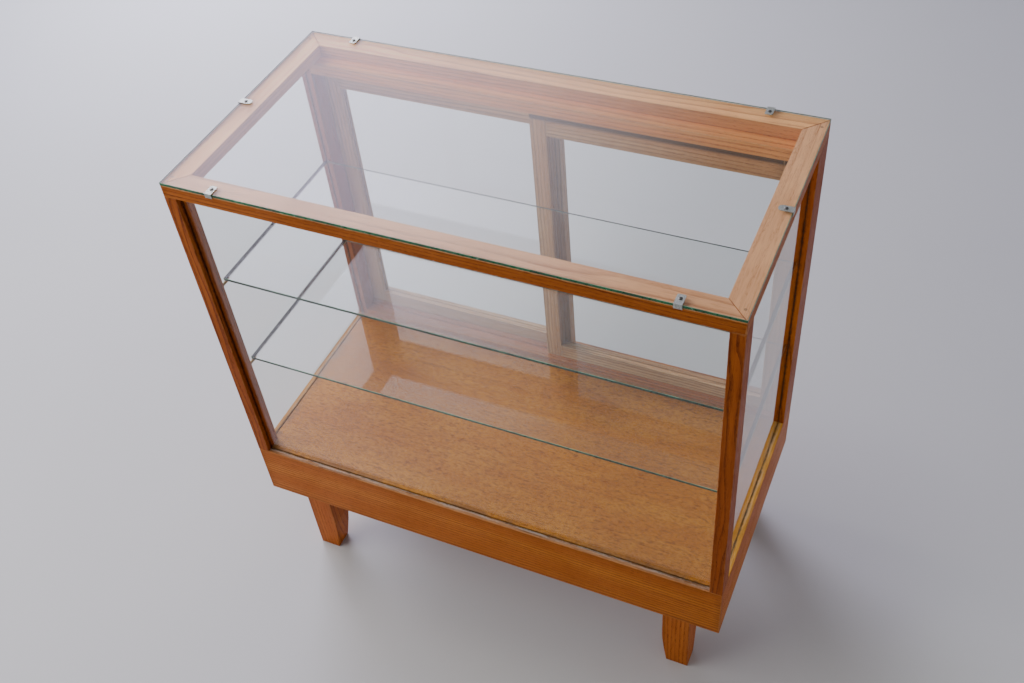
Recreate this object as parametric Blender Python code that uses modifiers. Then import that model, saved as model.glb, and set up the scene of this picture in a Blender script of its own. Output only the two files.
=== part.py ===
"""Glass display showcase: an oak frame glazed on the front, both ends and the top, standing on a
boxed base with four short legs. Two glass shelves rest on pegs, and two glazed doors slide at the
back. The front faces -Y, the floor is z = 0 and the origin is under the middle of the case."""
import math

import bmesh
import bpy
from mathutils import Matrix

# Overall sizes
WIDTH = 0.900
DEPTH = 0.450
HEIGHT = 0.934  # floor to the top face of the counter glass

# Clearances
GAP = 0.0003  # between pieces that touch
SHELF_SIDE_GAP = 0.0020  # between a shelf's end and the end pane
DECK_EDGE_GAP = 0.0005  # between a pane and the edge of the deck
GLASS_HOLE_GAP = 0.0010  # round a screw where it passes through the counter glass

# Shading and meshing
SMOOTH_BELOW = math.radians(35)  # faces meeting at less than this are shaded as one curve
WELD = 0.00001
TURNED_WELD = 0.00002

# Oak frame stock
RAIL_WIDTH = 0.035
RAIL_THICK = 0.0215
POST_WIDTH = 0.022  # across the front
FRONT_POST_DEPTH = 0.035
REAR_POST_DEPTH = 0.060
EDGE_BEVEL = 0.0006

# Base
APRON_HEIGHT = 0.117
APRON_THICK = 0.0215
DECK_THICK = 0.012
DECK_BEVEL = 0.0002
LEG_DROP = 0.187  # below the apron
LEG_SIZE = 0.050
LEG_INSET = 0.057  # from the end of the case to the leg's outer side
LEG_TAPER_START = 0.080  # height above the floor
LEG_TAPER_ACROSS = 0.009
LEG_TAPER_BACK = 0.015
LEG_TAPER_CURVE = 1.3  # 1 is a straight taper
LEG_TAPER_STEPS = 6

# Glass
TOP_GLASS_THICK = 0.005
PANE_THICK = 0.003
PANE_SET = 0.0095  # from the frame's outer face to the pane's outer face
PANE_TONGUE = 0.006  # depth of a pane in its groove
SHELF_THICK = 0.005
SHELF_TOPS = {"lower": 0.2128, "upper": 0.4018}  # above the deck
SHELF_FRONT_SPACE = 0.011  # from the front posts' rear face
SHELF_REAR_SPACE = 0.010  # from the rear posts' front face
GLASS_BEVEL = 0.0005

# Shelf pegs
PEG_RADIUS = 0.0025
PEG_BEARING = 0.010  # length under the shelf
PEG_SOCKET = 0.008  # length in the post
PEG_END_BEVEL = 0.0006
PEG_SIDES = 20

# Counter glass clips and their screws
CLIP_WIDTH = 0.012
CLIP_THICK = 0.0012
CLIP_HANG = 0.0070  # from the plate's underside to the bottom of the turned-down lip
FRONT_CLIP_REACH = 0.018
END_CLIP_REACH = 0.021
FRONT_CLIP_CORNER = 0.0020
END_CLIP_CORNER = 0.0055
CLIP_CORNER_STEPS = 4
CLIP_X = 0.360  # clips on the front and rear rails, either side of the middle
SCREW_IN_FROM_EDGE = 0.010
SCREW_RADIUS = 0.0015
SCREW_BITE = 0.011  # depth in the rail
SCREW_HEAD_RADIUS = 0.0030
SCREW_HEAD_HEIGHT = 0.0014
SCREW_SLOT_WIDTH = 0.0008
SCREW_SLOT_DEPTH = 0.0006
SCREW_TIP = 0.003  # length of the pointed end
SCREW_DOME = ((0.6, 1 / 6), (0.9, 1 / 2))  # shares of the head's radius, and of its height down
SCREW_STEPS = 20

# Sliding doors and their tracks
HEAD_THICK = 0.0215
SILL_THICK = 0.012
TRACK_DEPTH = 0.060
GROOVE_WIDTH = 0.010
HEAD_GROOVE_DEPTH = 0.012
SILL_GROOVE_DEPTH = 0.004
DOOR_THICK = 0.020
DOOR_SET = {"right": 0.009, "left": 0.033}  # from the tracks' front face to the door's front face
DOOR_WIDTH = 0.448
DOOR_POST_GAP = 0.001
TONGUE_THICK = 0.009
HEAD_ENGAGEMENT = 0.008  # tongue inside the head groove
HEAD_SHOULDER_GAP = 0.004
SILL_SHOULDER_GAP = 0.001
STILE_WIDTH = 0.029
DOOR_TOP_RAIL = 0.041
DOOR_BOTTOM_RAIL = 0.029
DOOR_GLASS_THICK = 0.003
DOOR_GLASS_TONGUE = 0.006

# Finger pulls
PULL_HEIGHT = 0.290  # above the deck
PULL_RADIUS = 0.009
PULL_DEPTH = 0.006
PULL_WALL = 0.0008
PULL_FLANGE = 0.0015
PULL_STEPS = 32

# Heights and faces that follow from the sizes above
FRAME_TOP = HEIGHT - TOP_GLASS_THICK - GAP
RAIL_BOTTOM = FRAME_TOP - RAIL_THICK
DECK_TOP = LEG_DROP + APRON_HEIGHT
FRONT = -DEPTH / 2
REAR = DEPTH / 2
END = WIDTH / 2
POST_INNER = END - POST_WIDTH
FRONT_POST_REAR = FRONT + FRONT_POST_DEPTH
REAR_POST_FRONT = REAR - REAR_POST_DEPTH
TRACK_FRONT = REAR - TRACK_DEPTH
HEAD_BOTTOM = RAIL_BOTTOM - GAP - HEAD_THICK
SILL_BOTTOM = DECK_TOP + GAP
SILL_TOP = SILL_BOTTOM + SILL_THICK
CUT_PAST = 0.002  # how far a cutter runs past the face it opens

# Start from an empty file
for old_object in list(bpy.data.objects):
    bpy.data.objects.remove(old_object, do_unlink=True)

case_parts = bpy.data.collections.new("display_showcase")
cutters = bpy.data.collections.new("cutters")
bpy.context.scene.collection.children.link(case_parts)
bpy.context.scene.collection.children.link(cutters)


def material(name, colour, roughness, metallic=0.0, transmission=0.0):
    made = bpy.data.materials.new(name)
    made.use_nodes = True
    shader = made.node_tree.nodes["Principled BSDF"]
    shader.inputs["Base Color"].default_value = (*colour, 1.0)
    shader.inputs["Roughness"].default_value = roughness
    shader.inputs["Metallic"].default_value = metallic
    shader.inputs["Transmission Weight"].default_value = transmission
    made.diffuse_color = (*colour, 1.0)
    return made


OAK = material("oiled_oak", (0.36, 0.17, 0.07), 0.42)
DARK_OAK = material("oiled_oak_posts", (0.27, 0.11, 0.045), 0.42)
DOOR_OAK = material("door_oak", (0.33, 0.19, 0.10), 0.5)
PLY = material("deck_plywood", (0.44, 0.25, 0.12), 0.45)
GLASS = material("clear_glass", (0.88, 0.94, 0.92), 0.03, transmission=0.9)
ZINC = material("zinc_plate", (0.55, 0.55, 0.54), 0.4, metallic=1.0)
BRASS = material("aged_brass", (0.55, 0.40, 0.18), 0.4, metallic=1.0)


def add_object(name, mesh, finish, location=(0, 0, 0), turn=0.0, parent=None):
    piece = bpy.data.objects.new(name, mesh)
    if finish:
        mesh.materials.append(finish)
    piece.location = location
    piece.rotation_euler = (0, 0, turn)
    piece.parent = parent
    case_parts.objects.link(piece)
    return piece


def make_cutter(name, mesh, location=(0, 0, 0), turn=0.0, parent=None):
    cutter = add_object(name, mesh, None, location, turn, parent)
    case_parts.objects.unlink(cutter)
    cutters.objects.link(cutter)
    cutter.hide_render = True
    cutter.display_type = "WIRE"
    return cutter


def cut(piece, *tools):
    for tool in tools:
        boolean = piece.modifiers.new("cut_" + tool.name, "BOOLEAN")
        boolean.operation = "DIFFERENCE"
        boolean.solver = "EXACT"
        boolean.object = tool


def soften(piece, width):
    bevel = piece.modifiers.new("soft_edges", "BEVEL")
    bevel.width = width
    bevel.segments = 1
    bevel.limit_method = "ANGLE"


def box_mesh(name, size):
    shape = bmesh.new()
    bmesh.ops.create_cube(shape, size=1.0)
    bmesh.ops.scale(shape, vec=size, verts=shape.verts)
    mesh = bpy.data.meshes.new(name)
    shape.to_mesh(mesh)
    shape.free()
    return mesh


def span(low, high):
    """Size and centre of the box between two corners."""
    size = [high[axis] - low[axis] for axis in range(3)]
    middle = [(high[axis] + low[axis]) / 2 for axis in range(3)]
    return size, middle


def box(name, low, high, finish, bevel, parent=None):
    size, middle = span(low, high)
    piece = add_object(name, box_mesh(name, size), finish, middle, parent=parent)
    soften(piece, bevel)
    return piece


def box_cutter(name, low, high, parent=None):
    size, middle = span(low, high)
    return make_cutter(name, box_mesh(name, size), middle, parent=parent)


def grown(low, high, margin):
    return [value - margin for value in low], [value + margin for value in high]


def cylinder_mesh(name, radius, length, sides):
    """A cylinder along Z, centred on its own middle."""
    shape = bmesh.new()
    bmesh.ops.create_cone(
        shape, cap_ends=True, segments=sides, radius1=radius, radius2=radius, depth=length)
    mesh = bpy.data.meshes.new(name)
    shape.to_mesh(mesh)
    shape.free()
    return mesh


def outline_mesh(name, points, thickness):
    """A flat outline in XY, given its thickness along Z about its own plane."""
    curve = bpy.data.curves.new(name, "CURVE")
    curve.dimensions = "2D"
    curve.fill_mode = "BOTH"
    curve.extrude = thickness / 2
    spline = curve.splines.new("POLY")
    spline.points.add(len(points) - 1)
    for point, (across, along) in zip(spline.points, points):
        point.co = (across, along, 0, 1)
    spline.use_cyclic_u = True
    guide = bpy.data.objects.new(name + "_outline", curve)
    cutters.objects.link(guide)
    evaluated = guide.evaluated_get(bpy.context.evaluated_depsgraph_get())
    mesh = bpy.data.meshes.new_from_object(evaluated)
    mesh.name = name
    bpy.data.objects.remove(guide, do_unlink=True)
    bpy.data.curves.remove(curve)
    mesh.materials.clear()
    shape = bmesh.new()
    shape.from_mesh(mesh)
    bmesh.ops.remove_doubles(shape, verts=shape.verts, dist=WELD)
    bmesh.ops.recalc_face_normals(shape, faces=shape.faces)
    shape.to_mesh(mesh)
    shape.free()
    return mesh


OUTLINE_TO_YZ = Matrix(((0, 0, 1, 0), (1, 0, 0, 0), (0, 1, 0, 0), (0, 0, 0, 1)))


def section_mesh(name, points, length):
    """A section drawn in YZ and run along X, centred on its own middle."""
    mesh = outline_mesh(name, points, length)
    mesh.transform(OUTLINE_TO_YZ)
    return mesh


def turned_mesh(name, profile, steps):
    """A profile of (radius, height) points from the top of the axis to its bottom, turned on Z."""
    shape = bmesh.new()
    corners = [shape.verts.new((radius, 0, height)) for radius, height in profile]
    for upper, lower in zip(corners, corners[1:]):
        shape.edges.new((upper, lower))
    mesh = bpy.data.meshes.new(name + "_profile")
    shape.to_mesh(mesh)
    shape.free()
    guide = bpy.data.objects.new(name + "_profile", mesh)
    cutters.objects.link(guide)
    screw = guide.modifiers.new("turned", "SCREW")
    screw.steps = steps
    screw.render_steps = steps
    screw.use_merge_vertices = True
    screw.merge_threshold = TURNED_WELD
    evaluated = guide.evaluated_get(bpy.context.evaluated_depsgraph_get())
    turned = bpy.data.meshes.new_from_object(evaluated)
    turned.name = name
    bpy.data.objects.remove(guide, do_unlink=True)
    bpy.data.meshes.remove(mesh)
    turned.shade_smooth()
    turned.set_sharp_from_angle(angle=SMOOTH_BELOW)
    return turned


# Sides of the case, each with the turn about Z that brings its outer face round from the front
SIDES = {
    "front": (WIDTH, (0, FRONT), 0.0),
    "right": (DEPTH, (END, 0), math.pi / 2),
    "rear": (WIDTH, (0, REAR), math.pi),
    "left": (DEPTH, (-END, 0), -math.pi / 2),
}
MITRE_RELIEF = GAP / math.sqrt(2)  # half the mitre's gap, measured along the board


def mitred_board(name, side, stock, low, high, finish):
    """A board lying along one side of the case, its outer face flush and its ends mitred."""
    length, (side_x, side_y), turn = SIDES[side]
    shape = bmesh.new()
    bmesh.ops.create_cube(shape, size=1.0)
    bmesh.ops.scale(shape, vec=(length - 2 * MITRE_RELIEF, stock, high - low), verts=shape.verts)
    for corner in shape.verts:
        if corner.co.y > 0:
            corner.co.x -= math.copysign(stock, corner.co.x)
        corner.co.y += stock / 2
    mesh = bpy.data.meshes.new(name)
    shape.to_mesh(mesh)
    shape.free()
    board = add_object(name, mesh, finish, (side_x, side_y, (low + high) / 2), turn)
    soften(board, EDGE_BEVEL)
    return board


# Panes: their tongues reach into grooves in the posts, the top rails and the aprons
PANE_LOW_Z = DECK_TOP - PANE_TONGUE
PANE_HIGH_Z = RAIL_BOTTOM + PANE_TONGUE
PANE_BACK = PANE_SET + PANE_THICK
PANES = {
    "front": (
        (-POST_INNER - PANE_TONGUE, FRONT + PANE_SET, PANE_LOW_Z),
        (POST_INNER + PANE_TONGUE, FRONT + PANE_BACK, PANE_HIGH_Z)),
    "right": (
        (END - PANE_BACK, FRONT_POST_REAR - PANE_TONGUE, PANE_LOW_Z),
        (END - PANE_SET, REAR_POST_FRONT + PANE_TONGUE, PANE_HIGH_Z)),
    "left": (
        (-END + PANE_SET, FRONT_POST_REAR - PANE_TONGUE, PANE_LOW_Z),
        (-END + PANE_BACK, REAR_POST_FRONT + PANE_TONGUE, PANE_HIGH_Z)),
}
pane_grooves = {}
for side, (low, high) in PANES.items():
    box(side + "_pane", low, high, GLASS, GLASS_BEVEL)
    pane_grooves[side] = box_cutter(side + "_pane_groove", *grown(low, high, GAP))


# Base: four mitred aprons rebated for the deck, which is notched round the posts
DECK_EDGE = PANE_BACK + DECK_EDGE_GAP  # from the case's outer face to the deck's edge
DECK_BOTTOM = DECK_TOP - DECK_THICK
deck = box(
    "deck", (-END + DECK_EDGE, FRONT + DECK_EDGE, DECK_BOTTOM),
    (END - DECK_EDGE, REAR - DECK_EDGE, DECK_TOP), PLY, DECK_BEVEL)
for row, low_y, high_y in (
        ("front", FRONT, FRONT_POST_REAR), ("rear", REAR_POST_FRONT, REAR)):
    for hand, low_x, high_x in (("left", -END, -POST_INNER), ("right", POST_INNER, END)):
        cut(deck, box_cutter(
            f"{row}_{hand}_notch", (low_x - GAP, low_y - GAP, DECK_BOTTOM - CUT_PAST),
            (high_x + GAP, high_y + GAP, DECK_TOP + CUT_PAST)))

# The rebate is the deck's own shape grown by the gap: one box between the posts each way
deck_rebates = [
    box_cutter(
        "deck_rebate_along", (-POST_INNER, FRONT + DECK_EDGE - GAP, DECK_BOTTOM - GAP),
        (POST_INNER, REAR - DECK_EDGE + GAP, DECK_TOP + CUT_PAST)),
    box_cutter(
        "deck_rebate_across", (-END + DECK_EDGE - GAP, FRONT_POST_REAR, DECK_BOTTOM - GAP),
        (END - DECK_EDGE + GAP, REAR_POST_FRONT, DECK_TOP + CUT_PAST))]

for side in SIDES:
    apron = mitred_board(side + "_apron", side, APRON_THICK, LEG_DROP, DECK_TOP, OAK)
    cut(apron, *deck_rebates)
    if side in pane_grooves:
        cut(apron, pane_grooves[side])


# Legs: fixed behind the front and rear aprons, with a late taper on the two inner faces
def leg_mesh(name, to_middle, to_back):
    """A leg whose outer corner is at its origin; the signs say which way its inner faces lie."""
    top = DECK_TOP - DECK_THICK - GAP
    shape = bmesh.new()
    bmesh.ops.create_cube(shape, size=1.0)
    bmesh.ops.scale(shape, vec=(LEG_SIZE, LEG_SIZE, top), verts=shape.verts)
    bmesh.ops.translate(shape, vec=(LEG_SIZE / 2, LEG_SIZE / 2, top / 2), verts=shape.verts)
    for step in range(LEG_TAPER_STEPS):
        level = LEG_TAPER_START * (1 - step / LEG_TAPER_STEPS)
        everything = list(shape.verts) + list(shape.edges) + list(shape.faces)
        bmesh.ops.bisect_plane(shape, geom=everything, plane_co=(0, 0, level), plane_no=(0, 0, 1))
    for corner in shape.verts:
        drop = max(0.0, 1 - corner.co.z / LEG_TAPER_START)
        if corner.co.x > LEG_SIZE / 2:
            corner.co.x -= LEG_TAPER_ACROSS * drop ** LEG_TAPER_CURVE
        if corner.co.y > LEG_SIZE / 2:
            corner.co.y -= LEG_TAPER_BACK * drop ** LEG_TAPER_CURVE
        corner.co.x *= to_middle
        corner.co.y *= to_back
    if to_middle != to_back:
        bmesh.ops.reverse_faces(shape, faces=shape.faces)
    mesh = bpy.data.meshes.new(name)
    shape.to_mesh(mesh)
    shape.free()
    return mesh


for row, face_y, to_back in (("front", FRONT, 1), ("rear", REAR, -1)):
    for hand, face_x, to_middle in (("left", -END, 1), ("right", END, -1)):
        leg_name = f"{row}_{hand}_leg"
        leg = add_object(
            leg_name, leg_mesh(leg_name, to_middle, to_back), OAK,
            (face_x + to_middle * LEG_INSET, face_y + to_back * (APRON_THICK + GAP), 0))
        soften(leg, EDGE_BEVEL)


# Shelves and the pegs that carry them
SHELF_FRONT = FRONT_POST_REAR + SHELF_FRONT_SPACE
SHELF_REAR = REAR_POST_FRONT - SHELF_REAR_SPACE
SHELF_END = END - PANE_BACK - SHELF_SIDE_GAP
PEG_X = (POST_INNER + END - PANE_BACK) / 2  # the strip of post inside the end pane
PEG_FRONT_LENGTH = PEG_SOCKET + SHELF_FRONT_SPACE + PEG_BEARING
PEG_REAR_LENGTH = PEG_SOCKET + SHELF_REAR_SPACE + PEG_BEARING
ALONG_Y = Matrix.Rotation(math.pi / 2, 4, "X")
peg_sockets = {}


def peg(name, across, middle_y, height, length):
    mesh = cylinder_mesh(name, PEG_RADIUS, length, PEG_SIDES)
    mesh.transform(ALONG_Y)
    mesh.shade_smooth()
    mesh.set_sharp_from_angle(angle=SMOOTH_BELOW)
    piece = add_object(name, mesh, BRASS, (across, middle_y, height))
    soften(piece, PEG_END_BEVEL)
    socket = cylinder_mesh(name + "_socket", PEG_RADIUS + GAP, length + 2 * GAP, PEG_SIDES)
    socket.transform(ALONG_Y)
    return make_cutter(name + "_socket", socket, (across, middle_y, height))


for level, above_deck in SHELF_TOPS.items():
    shelf_top = DECK_TOP + above_deck
    shelf_bottom = shelf_top - SHELF_THICK
    box(level + "_shelf", (-SHELF_END, SHELF_FRONT, shelf_bottom),
        (SHELF_END, SHELF_REAR, shelf_top), GLASS, GLASS_BEVEL)
    peg_height = shelf_bottom - GAP - PEG_RADIUS
    for hand, sign in (("left", -1), ("right", 1)):
        front_middle = FRONT_POST_REAR - PEG_SOCKET + PEG_FRONT_LENGTH / 2
        rear_middle = REAR_POST_FRONT + PEG_SOCKET - PEG_REAR_LENGTH / 2
        peg_sockets[level, "front", hand] = peg(
            f"{level}_peg_front_{hand}", sign * PEG_X, front_middle, peg_height, PEG_FRONT_LENGTH)
        peg_sockets[level, "rear", hand] = peg(
            f"{level}_peg_rear_{hand}", sign * PEG_X, rear_middle, peg_height, PEG_REAR_LENGTH)


# Posts: they stand on the aprons' corners and carry the top rails
for row, low_y, high_y in (
        ("front", FRONT, FRONT_POST_REAR), ("rear", REAR_POST_FRONT, REAR)):
    for hand, sign in (("left", -1), ("right", 1)):
        inner = sign * POST_INNER
        outer = sign * END
        post = box(
            f"{row}_{hand}_post",
            (min(inner, outer), low_y, DECK_TOP + GAP),
            (max(inner, outer), high_y, RAIL_BOTTOM - GAP),
            DARK_OAK, EDGE_BEVEL)
        cut(post, pane_grooves[hand])
        if row == "front":
            cut(post, pane_grooves["front"])
        cut(post, *[peg_sockets[level, row, hand] for level in SHELF_TOPS])


# Top rails, counter glass, clips and screws
CLIP_UNDERSIDE = HEIGHT + GAP
CLIP_TOP = CLIP_UNDERSIDE + CLIP_THICK


def clip_mesh(name, reach, corner):
    """A clip with its fold at the glass edge (y = 0) and its plate reaching over the glass."""
    section = [
        (-GAP - CLIP_THICK, CLIP_TOP - HEIGHT),
        (-GAP - CLIP_THICK, CLIP_UNDERSIDE - HEIGHT - CLIP_HANG),
        (-GAP, CLIP_UNDERSIDE - HEIGHT - CLIP_HANG),
        (-GAP, CLIP_UNDERSIDE - HEIGHT),
        (reach, CLIP_UNDERSIDE - HEIGHT),
        (reach, CLIP_TOP - HEIGHT)]
    mesh = section_mesh(name, section, CLIP_WIDTH)
    shape = bmesh.new()
    shape.from_mesh(mesh)
    plate_corners = [
        edge for edge in shape.edges
        if all(abs(end.co.y - reach) < GAP for end in edge.verts)
        and abs(edge.verts[0].co.x - edge.verts[1].co.x) < GAP]
    bmesh.ops.bevel(
        shape, geom=plate_corners, offset=corner, segments=CLIP_CORNER_STEPS,
        profile=0.5, affect="EDGES")
    shape.to_mesh(mesh)
    shape.free()
    return mesh


def screw_mesh(name):
    """A round-headed wood screw whose head rests on the plane z = 0."""
    length = CLIP_TOP - FRAME_TOP + SCREW_BITE
    dome = [(SCREW_HEAD_RADIUS * out, SCREW_HEAD_HEIGHT * (1 - down)) for out, down in SCREW_DOME]
    profile = [
        (0, SCREW_HEAD_HEIGHT),
        *dome,
        (SCREW_HEAD_RADIUS, GAP),
        (SCREW_RADIUS, GAP),
        (SCREW_RADIUS, SCREW_TIP - length),
        (0, -length)]
    return turned_mesh(name, profile, SCREW_STEPS)


clip_places = []
for side in ("front", "rear"):
    (side_x, side_y), turn = SIDES[side][1:]
    for hand, sign in (("left", -1), ("right", 1)):
        clip_places.append((f"{side}_{hand}_clip", side, (sign * CLIP_X, side_y), turn, FRONT_CLIP_REACH,
                            FRONT_CLIP_CORNER))
for side in ("left", "right"):
    (side_x, side_y), turn = SIDES[side][1:]
    clip_places.append((f"{side}_clip", side, (side_x, side_y), turn, END_CLIP_REACH, END_CLIP_CORNER))

glass_holes = []
rail_holes = {side: [] for side in SIDES}
for name, side, (edge_x, edge_y), turn, reach, corner in clip_places:
    screw_x = edge_x - math.sin(turn) * SCREW_IN_FROM_EDGE
    screw_y = edge_y + math.cos(turn) * SCREW_IN_FROM_EDGE
    hole_length = CLIP_TOP - FRAME_TOP + SCREW_BITE + GAP + CUT_PAST
    hole_middle = CLIP_TOP + CUT_PAST - hole_length / 2
    tight_hole = make_cutter(
        name + "_screw_hole",
        cylinder_mesh(name + "_screw_hole", SCREW_RADIUS + GAP, hole_length, SCREW_STEPS),
        (screw_x, screw_y, hole_middle))
    loose_hole = make_cutter(
        name + "_glass_hole",
        cylinder_mesh(name + "_glass_hole", SCREW_RADIUS + GLASS_HOLE_GAP, hole_length, SCREW_STEPS),
        (screw_x, screw_y, hole_middle))
    glass_holes.append(loose_hole)
    rail_holes[side].append(tight_hole)
    clip = add_object(name, clip_mesh(name, reach, corner), ZINC, (edge_x, edge_y, HEIGHT), turn)
    cut(clip, tight_hole)
    screw = add_object(name + "_screw", screw_mesh(name + "_screw"), ZINC,
                       (screw_x, screw_y, CLIP_TOP), turn)
    slot = box_cutter(
        name + "_screw_slot",
        (-SCREW_HEAD_RADIUS - CUT_PAST, -SCREW_SLOT_WIDTH / 2, SCREW_HEAD_HEIGHT - SCREW_SLOT_DEPTH),
        (SCREW_HEAD_RADIUS + CUT_PAST, SCREW_SLOT_WIDTH / 2, SCREW_HEAD_HEIGHT + CUT_PAST),
        parent=screw)
    cut(screw, slot)

counter = box("top_glass", (-END, FRONT, HEIGHT - TOP_GLASS_THICK), (END, REAR, HEIGHT), GLASS,
              GLASS_BEVEL)
cut(counter, *glass_holes)
for side in SIDES:
    rail = mitred_board(side + "_top_rail", side, RAIL_WIDTH, RAIL_BOTTOM, FRAME_TOP, OAK)
    cut(rail, *rail_holes[side])
    if side in pane_grooves:
        cut(rail, pane_grooves[side])


# Tracks for the doors: a grooved head under the rear rail and a grooved sill on the deck
TRACK_END = POST_INNER - GAP
head_track = box(
    "head_track", (-TRACK_END, TRACK_FRONT, HEAD_BOTTOM), (TRACK_END, REAR, HEAD_BOTTOM + HEAD_THICK),
    OAK, EDGE_BEVEL)
sill_track = box(
    "sill_track", (-TRACK_END, TRACK_FRONT, SILL_BOTTOM), (TRACK_END, REAR, SILL_TOP),
    OAK, EDGE_BEVEL)
for hand, door_set in DOOR_SET.items():
    groove_middle = TRACK_FRONT + door_set + DOOR_THICK / 2
    groove_low = groove_middle - GROOVE_WIDTH / 2
    groove_high = groove_middle + GROOVE_WIDTH / 2
    cut(head_track, box_cutter(
        hand + "_head_groove",
        (-TRACK_END - CUT_PAST, groove_low, HEAD_BOTTOM - CUT_PAST),
        (TRACK_END + CUT_PAST, groove_high, HEAD_BOTTOM + HEAD_GROOVE_DEPTH)))
    cut(sill_track, box_cutter(
        hand + "_sill_groove",
        (-TRACK_END - CUT_PAST, groove_low, SILL_TOP - SILL_GROOVE_DEPTH),
        (TRACK_END + CUT_PAST, groove_high, SILL_TOP + CUT_PAST)))


# Doors: each frame's shoulders clear the tracks, and its tongues run in their grooves
DOOR_LOW = SILL_TOP + SILL_SHOULDER_GAP
DOOR_HIGH = HEAD_BOTTOM - HEAD_SHOULDER_GAP
TONGUE_LOW = SILL_TOP - SILL_GROOVE_DEPTH + GAP
TONGUE_HIGH = HEAD_BOTTOM + HEAD_ENGAGEMENT
DOOR_MIDDLE_Z = (DOOR_LOW + DOOR_HIGH) / 2
OPENING_LOW = DOOR_LOW + DOOR_BOTTOM_RAIL
OPENING_HIGH = DOOR_HIGH - DOOR_TOP_RAIL


def door_member(name, middle_x, length, low, high, anchor, tongue_low=None, tongue_high=None):
    """A door member with a tongue below or above where it meets a track."""
    half = length / 2
    member = box(
        name, (middle_x - half, -DOOR_THICK / 2, low - DOOR_MIDDLE_Z),
        (middle_x + half, DOOR_THICK / 2, high - DOOR_MIDDLE_Z), DOOR_OAK, EDGE_BEVEL, parent=anchor)
    tongue_half = half - EDGE_BEVEL
    core_low = (low + EDGE_BEVEL) if tongue_low is None else tongue_low
    core_high = (high - EDGE_BEVEL) if tongue_high is None else tongue_high
    tongue = box_cutter(
        name + "_tongue",
        (middle_x - tongue_half, -TONGUE_THICK / 2, core_low - DOOR_MIDDLE_Z),
        (middle_x + tongue_half, TONGUE_THICK / 2, core_high - DOOR_MIDDLE_Z), parent=anchor)
    joined = member.modifiers.new("tongue", "BOOLEAN")
    joined.operation = "UNION"
    joined.solver = "EXACT"
    joined.object = tongue
    return member


def finger_pull(hand, across, parent):
    """A turned cup let into the door's rear face, and the cutter for its hole."""
    rim = PULL_RADIUS + PULL_FLANGE
    inner = PULL_RADIUS - PULL_WALL
    profile = [
        (0, PULL_WALL - PULL_DEPTH),
        (inner - PULL_WALL, PULL_WALL - PULL_DEPTH),
        (inner, 2 * PULL_WALL - PULL_DEPTH),
        (inner, GAP + PULL_WALL),
        (rim - PULL_WALL / 2, GAP + PULL_WALL),
        (rim, GAP + PULL_WALL / 2),
        (rim, GAP),
        (PULL_RADIUS, GAP),
        (PULL_RADIUS, -PULL_DEPTH),
        (0, -PULL_DEPTH)]
    name = hand + "_door_finger_pull"
    mesh = turned_mesh(name, profile, PULL_STEPS)
    mesh.transform(Matrix.Rotation(-math.pi / 2, 4, "X"))
    height = DECK_TOP + PULL_HEIGHT - DOOR_MIDDLE_Z
    add_object(name, mesh, BRASS, (across, DOOR_THICK / 2, height), parent=parent)
    hole_depth = PULL_DEPTH + GAP + CUT_PAST
    hole = cylinder_mesh(name + "_hole", PULL_RADIUS + GAP, hole_depth, PULL_STEPS)
    hole.transform(ALONG_Y)
    return make_cutter(
        name + "_hole", hole,
        (across, DOOR_THICK / 2 + CUT_PAST - hole_depth / 2, height), parent=parent)


def sliding_door(hand, sign):
    """One glazed door, built about its own middle; sign points to the case's end."""
    name = hand + "_door"
    anchor = bpy.data.objects.new(name, None)
    outer_edge = POST_INNER - DOOR_POST_GAP
    anchor.location = (
        sign * (outer_edge - DOOR_WIDTH / 2),
        TRACK_FRONT + DOOR_SET[hand] + DOOR_THICK / 2,
        DOOR_MIDDLE_Z)
    case_parts.objects.link(anchor)
    opening = DOOR_WIDTH / 2 - STILE_WIDTH
    glass_low = (
        -opening - DOOR_GLASS_TONGUE, -DOOR_GLASS_THICK / 2,
        OPENING_LOW - DOOR_GLASS_TONGUE - DOOR_MIDDLE_Z)
    glass_high = (
        opening + DOOR_GLASS_TONGUE, DOOR_GLASS_THICK / 2,
        OPENING_HIGH + DOOR_GLASS_TONGUE - DOOR_MIDDLE_Z)
    box(name + "_glass", glass_low, glass_high, GLASS, GLASS_BEVEL, parent=anchor)
    groove = box_cutter(name + "_glass_groove", *grown(glass_low, glass_high, GAP), parent=anchor)
    stile_x = opening + STILE_WIDTH / 2
    for place, side in (("outer", sign), ("meeting", -sign)):
        stile = door_member(
            f"{name}_{place}_stile", side * stile_x, STILE_WIDTH, DOOR_LOW, DOOR_HIGH, anchor,
            tongue_low=TONGUE_LOW, tongue_high=TONGUE_HIGH)
        cut(stile, groove)
        if place == "outer":
            cut(stile, finger_pull(hand, side * stile_x, anchor))
    rail_length = 2 * (opening - GAP)
    top_rail = door_member(
        name + "_top_rail", 0, rail_length, OPENING_HIGH, DOOR_HIGH, anchor, tongue_high=TONGUE_HIGH)
    bottom_rail = door_member(
        name + "_bottom_rail", 0, rail_length, DOOR_LOW, OPENING_LOW, anchor, tongue_low=TONGUE_LOW)
    cut(top_rail, groove)
    cut(bottom_rail, groove)


sliding_door("left", -1)
sliding_door("right", 1)
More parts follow.
